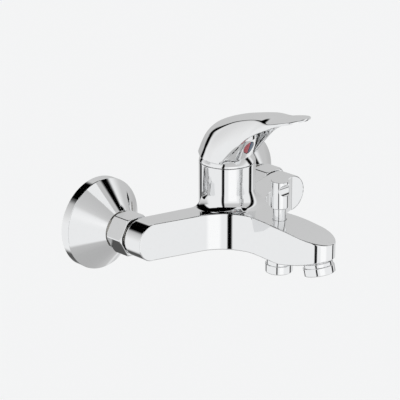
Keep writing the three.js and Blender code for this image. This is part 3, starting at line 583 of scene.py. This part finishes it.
HINGE = (18.9, 11.3, 13.5)
STATIONS = [
    # edge of the roof, hem of the side, bulge of the side, crown of the roof
    ((14.2, -16.2, 13.5), HINGE, 4.9, 10.2),
    ((13.6, -13.5, 19.6), HINGE, 4.6, 9.6),
    ((13.1, -10.6, 25.4), HINGE, 4.2, 8.7),
    ((12.7, -4.9, 32.6), HINGE, 3.6, 7),
    ((12.5, 4.3, 39), HINGE, 3, 5.8),
    ((12.4, 17.3, 46), HINGE, 2.2, 4.5),
    ((12.4, 29.3, 50.6), HINGE, 1.6, 3.5),
    ((12.6, 39.3, 53.4), HINGE, 1.2, 3),
    ((13.2, 46, 54.1), (16.6, 20.5, 23.2), 0.8, 3.4),
    ((14, 50.5, 53.9), (15.6, 33, 36.5), 0.5, 4),
    ((14.8, 54.5, 54), (15.2, 44.5, 44.3), 0.2, 4.4),
    ((15.2, 59, 55), (15, 54.5, 49.6), 0, 4),
    ((14.9, 64, 56.4), (14.7, 62, 53.5), 0, 3.2),
    ((13.6, 69, 57.7), (13.4, 68.2, 55.6), 0, 2.4),
    ((11.2, 74, 58.9), (11, 73.6, 57.1), 0, 1.7),
    ((7, 78.2, 59.9), (6.9, 77.9, 58.4), 0, 1.1),
    ((2.4, 80.2, 60.4), (2.3, 80, 59.1), 0, 0.5),
]
HOLLOW_TO = 10
LEVER_WALL = 2.2
EDGE_ROUNDING = 1.4  # where the roof meets the side
LINE_POINTS = 81


def smooth_rows(rows, steps):
    """Catmull-Rom between rows of numbers."""
    rows = np.array(rows, float)
    padded = np.vstack([2 * rows[0] - rows[1], rows, 2 * rows[-1] - rows[-2]])
    out = []
    for i in range(len(rows) - 1):
        p0, p1, p2, p3 = padded[i : i + 4]
        for k in range(steps):
            t = k / steps
            out.append(
                0.5
                * (
                    2 * p1
                    + (p2 - p0) * t
                    + (2 * p0 - 5 * p1 + 4 * p2 - p3) * t**2
                    + (3 * p1 - p0 - 3 * p2 + p3) * t**3
                )
            )
    out.append(rows[-1])
    return np.array(out)


def respaced(line, count, off_start, off_end):
    """The same line with evenly spaced points, shortened at its ends."""
    along = np.concatenate([[0], np.cumsum(np.linalg.norm(np.diff(line, axis=0), axis=1))])
    at = np.linspace(off_start, along[-1] - off_end, count)
    return np.stack([np.interp(at, along, line[:, i]) for i in range(3)], 1)


def hood_half(edge, hem, bulge, crown, side_steps, roof_steps):
    """The right half of a ring, from the hem up to the ridge, with the roof's edge rounded off."""
    edge = np.array([edge[0], -edge[1], edge[2]])
    hem = np.array([hem[0], -hem[1], hem[2]])
    up = (edge - hem) * [0, 1, 1]
    up /= max(np.linalg.norm(up), 1e-6)
    t = np.linspace(0, 1, LINE_POINTS)[:, None]
    side = hem + (edge - hem) * t
    side[:, 0:1] += bulge * 4 * t * (1 - t)
    across = np.linspace(1, 0, LINE_POINTS)[:, None]
    roof = np.repeat(edge[None], LINE_POINTS, 0)
    roof[:, 0:1] = edge[0] * across
    roof = roof + up * crown * (1 - across**2)
    rounded = min(EDGE_ROUNDING, 0.35 * np.linalg.norm(side[-1] - side[0]))
    low_part = respaced(side, side_steps, 0, rounded)
    high_part = respaced(roof, roof_steps, rounded, 0)
    before, after = low_part[-1], high_part[0]
    s = np.linspace(0, 1, 7)[:, None]
    corner = (1 - s) ** 2 * before + 2 * s * (1 - s) * edge + s**2 * after
    return np.vstack([low_part, corner[1:-1], high_part])


def hood_shape():
    steps, side_steps, roof_steps = 8, 14, 14
    flat = [[*edge, *hem, bulge, crown] for edge, hem, bulge, crown in STATIONS]
    rows = smooth_rows(flat, steps)
    hollow = HOLLOW_TO * steps
    halves = [hood_half(r[:3], r[3:6], r[6], r[7], side_steps, roof_steps) for r in rows]
    outer = np.array([np.vstack([h, h[-2::-1] * [-1, 1, 1]]) for h in halves])
    count, across = outer.shape[:2]

    def grid_faces(n_rows, n_cols, start, flip):
        faces = []
        for i in range(n_rows - 1):
            a = start + i * n_cols + np.arange(n_cols - 1)
            quad = np.stack([a, a + 1, a + 1 + n_cols, a + n_cols], 1)
            faces.append(quad[:, ::-1] if flip else quad)
        return np.concatenate(faces)

    skin_faces = grid_faces(count, across, 0, False)
    points = outer.reshape(-1, 3)
    normals = face_normals(points, skin_faces).reshape(count, across, 3)
    inward = normals.copy()
    inward[:, 0] = [1, 0, 0]
    inward[:, -1] = [-1, 0, 0]
    inner = outer - LEVER_WALL * inward
    under_t = np.linspace(0, 1, across)[:, None]
    for i in range(hollow, count):
        inner[i] = outer[i, 0] * (1 - under_t) + outer[i, -1] * under_t
    rings = np.concatenate([outer, inner[:, ::-1]], 1)
    around = rings.shape[1]
    rim = rings[:1].copy()
    rim_middle = (outer[0] + inner[0]) / 2
    rim[0, :across] = outer[0] + (rim_middle - outer[0]) * 0.3
    rim[0, across:] = (inner[0] + (rim_middle - inner[0]) * 0.3)[::-1]
    rim[0] += [0, 0, -0.35]
    rings = np.concatenate([rim, rings])
    n_rings = len(rings)
    points = rings.reshape(-1, 3)
    faces = []
    for i in range(n_rings - 1):
        a = i * around + np.arange(around)
        b = i * around + (np.arange(around) + 1) % around
        faces.append(np.stack([a, a + around, b + around, b], 1))
    bottom = []
    for j in range(across - 1):
        bottom.append([j, j + 1, around - 2 - j, around - 1 - j])
    faces.append(np.array(bottom))
    tip = (n_rings - 1) * around
    cap = []
    for j in range(across - 1):
        cap.append([tip + j, tip + around - 1 - j, tip + around - 2 - j, tip + j + 1])
    faces.append(np.array(cap))
    faces = np.concatenate(faces)
    reach = np.linalg.norm(points, axis=1)[:, None]
    points = points * np.maximum(reach, BALL + BALL_GAP) / reach
    return points + PIVOT, faces, face_normals(points, faces)


# height, radius and lean of the column under the hood
CORE_LEVELS = np.array(
    [[8, 18.7, 0], [14, 18.7, 0], [25, 17, 6.3], [31.5, 15.2, 10.6], [40, 12.4, 13.5]],
    float,
)
BUTTON_H = 24.8
BUTTON_R = 4.7


def column_field(x, y, z, inset=0.0):
    """The leaning column under the hood."""
    f, h = -(y - PIVOT[1]), z - PIVOT[2]
    radius = np.interp(h, CORE_LEVELS[:, 0], CORE_LEVELS[:, 1])
    middle = np.interp(h, CORE_LEVELS[:, 0], CORE_LEVELS[:, 2])
    return (np.hypot(x, f - middle) - radius + inset) * 0.9


def under_roof(y, z):
    """A plane-like limit inside the hood's roof, so that the column ends within its wall."""
    f, h = -(y - PIVOT[1]), z - PIVOT[2]
    edges = np.array([s[0] for s in STATIONS])
    roof = np.interp(f, edges[:, 1], edges[:, 2])
    return (h - roof + 1.2) * 0.75


def ball_field(x, y, z, margin):
    return np.sqrt(x**2 + (y - PIVOT[1]) ** 2 + (z - PIVOT[2]) ** 2) - BALL - margin


def core_field(x, y, z):
    solid = larger(column_field(x, y, z), under_roof(y, z), 0.2)
    solid = np.maximum(solid, -column_field(x, y, z, 2.4))
    solid = larger(solid, -ball_field(x, y, z, 0.4), 0.35)
    f, h = -(y - PIVOT[1]), z - PIVOT[2]
    hole = np.maximum(np.hypot(x, h - BUTTON_H) - BUTTON_R - 0.25, 5 - f)
    return larger(solid, -hole, 0.15)


def button_field(side):
    def field(x, y, z):
        h = z - PIVOT[2]
        disc = np.hypot(x, h - BUTTON_H) - BUTTON_R
        half = 0.08 - side * x
        faces = np.maximum(column_field(x, y, z, 0.12), -column_field(x, y, z, 2.5))
        front = y - PIVOT[1] + 8
        return larger(larger(disc, half, 0.1), np.maximum(faces, front), 0.3)

    return field


def build_lever():
    hood = hood_shape()
    core = skin(core_field, (-19, PIVOT[1] - 26, PIVOT[2] + 12), (19, PIVOT[1] + 19, PIVOT[2] + 52), 0.5)
    piece("lever_handle", joined(hood, core), CHROME, "lever_arm", "chrome", "lever")
    y = PIVOT[1]
    for side, slot, node in ((-1, "hot_red", "index_button_hot"), (1, "cold_blue", "index_button_cold")):
        low = (min(side * 5, 0), y - 26, PIVOT[2] + BUTTON_H - 5)
        high = (max(side * 5, 0), y - 15, PIVOT[2] + BUTTON_H + 5)
        shape = skin(button_field(side), low, high, 0.22)
        piece("index_half_" + slot, shape, FINISHES[slot], "lever_arm", slot, node)


# ---- Diverter and shower outlet ------------------------------------------------------------------

KNOB_R, KNOB_LOW, KNOB_TOP = 6.9, 24.0, 45.2


def knob_field(x, y, z):
    dy = y - OUTLET_Y
    from_axis = np.hypot(x, dy)
    solid = larger(from_axis - KNOB_R, np.maximum(z - KNOB_TOP, KNOB_LOW - z), 0.6)
    scoop = np.hypot(dy + KNOB_R + 5 - 2.8, z - (KNOB_TOP - 6.5)) - 5
    bore = np.maximum(from_axis - 2.3, z - KNOB_LOW - 9)
    return np.maximum(larger(solid, -scoop, 0.25), -bore)


def build_diverter():
    knob = skin(knob_field, (-7, OUTLET_Y - 7, KNOB_LOW), (7, OUTLET_Y + 7, KNOB_TOP), 0.3)
    piece("pull_knob", knob, CHROME, "diverter_pull", "chrome", "diverter_knob")
    bush = lathe(
        closed(
            [
                (3.9, 10.3, 0.1),
                (5, 10.3, 0.3),
                (5, 23.7, 0.4),
                (2.3, 23.7, 0.2),
                (2.3, 20.1, 0.1),
                (3.9, 20.1, 0.1),
            ]
        )
    )
    bush = placed(bush, UPRIGHT, (0, OUTLET_Y, 0))
    piece("knob_bush", bush, CHROME, "faucet_body", "chrome", "diverter_bush")
    low = box_mm("shower_nipple")[0][2]
    ring_top, neck_top = -20.4, -14.8
    outline = [
        (7, low + 7, 0),
        (7, low, 0.4),
        (10.5, low, 0.9),
        (10.5, ring_top, 0.7),
        (9.6, ring_top, 0.15),
        (9.6, neck_top, 0.2),
        (9.0, neck_top, 0.1),
        (9.0, -7.5, 0.3),
        (5, -7.5, 0.3),
        (5, -9.3, 0.1),
        (7, -9.3, 0.1),
        (7, low + 7, 0),
    ]
    nipple = lathe(outline)
    nipple = placed(nipple, UPRIGHT, (0, OUTLET_Y, 0))
    piece("shower_outlet_nipple", nipple, CHROME, "faucet_body", "chrome", "shower_nipple")


# ---- Aerator -------------------------------------------------------------------------------------

AERATOR = np.array([0, -160, -8.4])
AERATOR_LENGTH = 9.3


def tilted(shape):
    c, s = math.cos(math.radians(-14)), math.sin(math.radians(-14))
    return placed(shape, [[1, 0, 0], [0, c, -s], [0, s, c]], AERATOR)


def build_aerator():
    low = -AERATOR_LENGTH
    shell = lathe(
        closed(
            [
                (9.2, low, 0.3),
                (11.9, low, 0.8),
                (11.9, -3, 0.6),
                (11.2, -3, 0.15),
                (11.2, -0.3, 0.3),
                (10, -0.3, 0.1),
                (10, 5, 0.3),
                (8, 5, 0.2),
                (8, -0.3, 0.1),
                (9.2, -0.3, 0.1),
            ]
        )
    )
    piece("aerator_housing", tilted(shell), CHROME, "faucet_body", "chrome", "aerator_shell")
    bars = []
    pitch = 1.9
    for i in range(-4, 5):
        half = math.sqrt(max(8.7**2 - (i * pitch) ** 2, 0))
        for turn in (0, 1):
            size = (2 * half, 0.5, 2.4)
            middle = (0, i * pitch, low + 2.6)
            bars.append(bar_shape(size, middle, turn))
    for r in (8.75, 5.2, 2.2):
        inner, top = r - 0.5, low + 1.2
        ring = [(inner, top, 0.1), (r, top, 0.12), (r, -1.2, 0.12), (inner, -1.2, 0.1)]
        bars.append(lathe(closed(ring), 96))
    grid = tilted(joined(*bars))
    piece("aerator_grid", grid, FINISHES["plastic"], "faucet_body", "plastic", "aerator_insert")


def bar_shape(size, middle, turned):
    """A straight bar with softened edges along X, or along Y if turned."""
    half = np.array(size) / 2
    soft = 0.08
    rings = []
    for x, shrink in ((-half[0], soft), (-half[0] + soft, 0), (half[0] - soft, 0), (half[0], soft)):
        w, h = half[1] - shrink, half[2] - shrink
        s = soft
        rings.append(
            [
                (x, -w + s, -h), (x, w - s, -h), (x, w, -h + s), (x, w, h - s),
                (x, w - s, h), (x, -w + s, h), (x, -w, h - s), (x, -w, -h + s),
            ]
        )
    points = np.array(rings).reshape(-1, 3)
    faces = []
    for i in range(3):
        for j in range(8):
            k = (j + 1) % 8
            faces.append([8 * i + j, 8 * i + k, 8 * i + 8 + k, 8 * i + 8 + j])
    for start, flip in ((0, False), (24, True)):
        for quad in ((0, 7, 2, 1), (2, 7, 6, 3), (3, 6, 5, 4)):
            quad = [start + q for q in quad]
            faces.append(quad[::-1] if flip else quad)
    points = points + middle
    if turned:
        points = points[:, [1, 0, 2]] * [1, -1, 1]
    faces = np.array(faces)
    if not turned:
        faces = faces[:, ::-1]
    else:
        faces = faces[:, ::-1]
    return points, faces, face_normals(points, faces)


# ---- Studio --------------------------------------------------------------------------------------

PALE = 0.93


def emitter(name, tones, sides, soft):
    """A card's light: tones from its lower to its upper edge, fading to the tones beside it."""
    material = bpy.data.materials.new(name)
    material.use_nodes = True
    nodes, links = material.node_tree.nodes, material.node_tree.links
    nodes.clear()
    out = nodes.new("ShaderNodeOutputMaterial")
    glow = nodes.new("ShaderNodeEmission")
    clear = nodes.new("ShaderNodeBsdfTransparent")
    cover = nodes.new("ShaderNodeMixShader")
    uv = nodes.new("ShaderNodeUVMap")
    split = nodes.new("ShaderNodeSeparateXYZ")
    rise = nodes.new("ShaderNodeValToRGB")
    rise.color_ramp.elements[0].color = (tones[0],) * 3 + (1,)
    rise.color_ramp.elements[1].color = (tones[-1],) * 3 + (1,)
    for i, tone in enumerate(tones[1:-1], 1):
        rise.color_ramp.elements.new(i / (len(tones) - 1)).color = (tone,) * 3 + (1,)
    links.new(uv.outputs["UV"], split.inputs["Vector"])
    links.new(split.outputs["Y"], rise.inputs["Fac"])
    links.new(rise.outputs["Color"], glow.inputs["Color"])
    cover.inputs["Fac"].default_value = 1
    opacity = None
    for output, widths in (("X", sides), ("Y", soft)):
        for low_side, width in ((True, widths[0]), (False, widths[1])):
            if width == 0:
                continue
            fade = nodes.new("ShaderNodeMapRange")
            fade.interpolation_type = "SMOOTHSTEP"
            fade.inputs["From Min"].default_value = 0 if low_side else 1
            fade.inputs["From Max"].default_value = width if low_side else 1 - width
            links.new(split.outputs[output], fade.inputs["Value"])
            if opacity is None:
                opacity = fade.outputs["Result"]
            else:
                product = nodes.new("ShaderNodeMath")
                product.operation = "MULTIPLY"
                links.new(opacity, product.inputs[0])
                links.new(fade.outputs["Result"], product.inputs[1])
                opacity = product.outputs["Value"]
    if opacity is not None:
        links.new(opacity, cover.inputs["Fac"])
    links.new(clear.outputs["BSDF"], cover.inputs[1])
    links.new(glow.outputs["Emission"], cover.inputs[2])
    links.new(cover.outputs["Shader"], out.inputs["Surface"])
    return material


CARD_CENTRE = np.array([0, -0.08, 0.02])
CARD_COLUMNS, CARD_ROWS = 25, 13  # points along a card's width and height


def card(name, azimuths, elevations, tones, distance, sides=(0, 0), soft=(0, 0)):
    """Part of a sphere round the faucet that only its reflections see. Azimuth runs from +X towards +Y.

    sides and soft are the shares of its width and height over which its edges fade out.
    """
    points = []
    for e in np.radians(np.linspace(*elevations, CARD_ROWS)):
        for a in np.radians(np.linspace(*azimuths, CARD_COLUMNS)):
            way = (math.cos(a) * math.cos(e), math.sin(a) * math.cos(e), math.sin(e))
            points.append(CARD_CENTRE + distance * np.array(way))
    faces = []
    for j in range(CARD_ROWS - 1):
        for i in range(CARD_COLUMNS - 1):
            k = j * CARD_COLUMNS + i
            faces.append([k, k + 1, k + CARD_COLUMNS + 1, k + CARD_COLUMNS])
    mesh = bpy.data.meshes.new(name)
    mesh.from_pydata([tuple(p) for p in points], [], faces)
    layer = mesh.uv_layers.new(name="UVMap")
    for polygon in mesh.polygons:
        for loop in polygon.loop_indices:
            vertex = mesh.loops[loop].vertex_index
            column, row = vertex % CARD_COLUMNS, vertex // CARD_COLUMNS
            layer.data[loop].uv = (column / (CARD_COLUMNS - 1), row / (CARD_ROWS - 1))
    mesh.materials.append(emitter(name, tones, sides, soft))
    obj = bpy.data.objects.new(name, mesh)
    bpy.context.scene.collection.objects.link(obj)
    for kind in ("camera", "diffuse", "shadow", "transmission", "volume_scatter"):
        setattr(obj, "visible_" + kind, False)


FLOOR_SIDE, FLOOR_Z = 30, -0.6


def build_studio():
    scene = bpy.context.scene
    scene.view_settings.view_transform = "Standard"
    world = bpy.data.worlds.new("studio")
    scene.world = world
    world.use_nodes = True
    background = world.node_tree.nodes["Background"]
    background.inputs["Color"].default_value = (0.97, 0.975, 0.98, 1)
    background.inputs["Strength"].default_value = 1.0
    mesh = bpy.data.meshes.new("floor")
    r, z = FLOOR_SIDE, FLOOR_Z
    mesh.from_pydata([(-r, -r, z), (r, -r, z), (r, r, z), (-r, r, z)], [], [(0, 1, 2, 3)])
    floor_material = bpy.data.materials.new("floor")
    floor_material.use_nodes = True
    principled = floor_material.node_tree.nodes["Principled BSDF"]
    principled.inputs["Base Color"].default_value = (PALE, PALE, PALE, 1)
    principled.inputs["Roughness"].default_value = 1
    principled.inputs["Specular IOR Level"].default_value = 0
    mesh.materials.append(floor_material)
    floor = bpy.data.objects.new("floor", mesh)
    scene.collection.objects.link(floor)
    floor.visible_glossy = False
    card("card_front", (-90, -136), (-50, 24), (1.14, 1.14), 3.4, sides=(0.3, 0.2), soft=(0.2, 0.2))
    card("card_front_top", (-150, -20), (22, 52), (0.8, 0.66, 0.6), 3.35, soft=(0.3, 0))
    card("card_back", (-16, 108), (-28, 56), (0.42, 0.62, 0.66, 0.72), 3.3, sides=(0.12, 0.1), soft=(0.15, 0))
    card("card_under", (-180, 180), (-90, -40), (0.5, 0.52, 0.62), 3.2, soft=(0, 0.15))
    card("card_under_back", (30, 110), (-66, -26), (0.06, 0.1, 0.25), 3.1, sides=(0.2, 0.2), soft=(0.2, 0.3))
    side_tones = (0.98, 0.88, 0.7, 0.45)
    card("card_side_back", (100, 152), (-8, 36), side_tones, 3.05, sides=(0.2, 0.3), soft=(0.4, 0))
    card("card_side_top", (74, 134), (28, 62), (0, 0), 3.0, sides=(0.25, 0.2), soft=(0.3, 0))
    card("card_left_front", (-160, -145), (-38, 60), (0, 0), 3.0, sides=(0.35, 0.25))
    card("card_left_back", (79, 101), (-34, 40), (0, 0), 3.0, sides=(0.25, 0.25))
    card("card_right", (-41, -15), (-38, 60), (0, 0), 3.0, sides=(0.3, 0.35))
    card("card_top", (-180, 180), (56, 90), (0, 0), 2.95, soft=(0.1, 0))
    card("card_top_front", (-190, -14), (54, 60), (0, 0), 2.95, sides=(0.05, 0.05), soft=(0.2, 0))
    card("card_back_top", (48, 96), (36, 60), (0, 0), 2.9, sides=(0.2, 0.2), soft=(0.2, 0))


# The camera looks at the target from the front left, a little above.
LENS = 190.8
CAMERA_TARGET = (-0.033417, -0.07, 0.024738)
CAMERA_WAY = (-0.6583, -0.6661, 0.3504)
CAMERA_DISTANCE = 1.592357


def build_camera():
    data = bpy.data.cameras.new("camera")
    data.lens = LENS
    data.sensor_width = 36
    camera = bpy.data.objects.new("camera", data)
    bpy.context.scene.collection.objects.link(camera)
    back = Vector(CAMERA_WAY).normalized()
    camera.location = Vector(CAMERA_TARGET) + back * CAMERA_DISTANCE
    camera.rotation_mode = "QUATERNION"
    camera.rotation_quaternion = (-back).to_track_quat("-Z", "Y")
    data.clip_start, data.clip_end = 0.05, 100
    bpy.context.scene.camera = camera


def finish_cad_nodes():
    """The CAD nodes that stay in view get their slot's finish."""
    slots = {row["node"]: row["material_slot"] for row in frame["record"]["subparts"]}
    for name, node in frame["nodes"].items():
        if node.hide_render:
            continue
        slot = slots[name]
        node.data.materials.clear()
        node.data.materials.append(FINISHES[slot])


build_body()
build_wall_connections()
build_dome()
build_lever()
build_diverter()
build_aerator()
finish_cad_nodes()
build_studio()
build_camera()
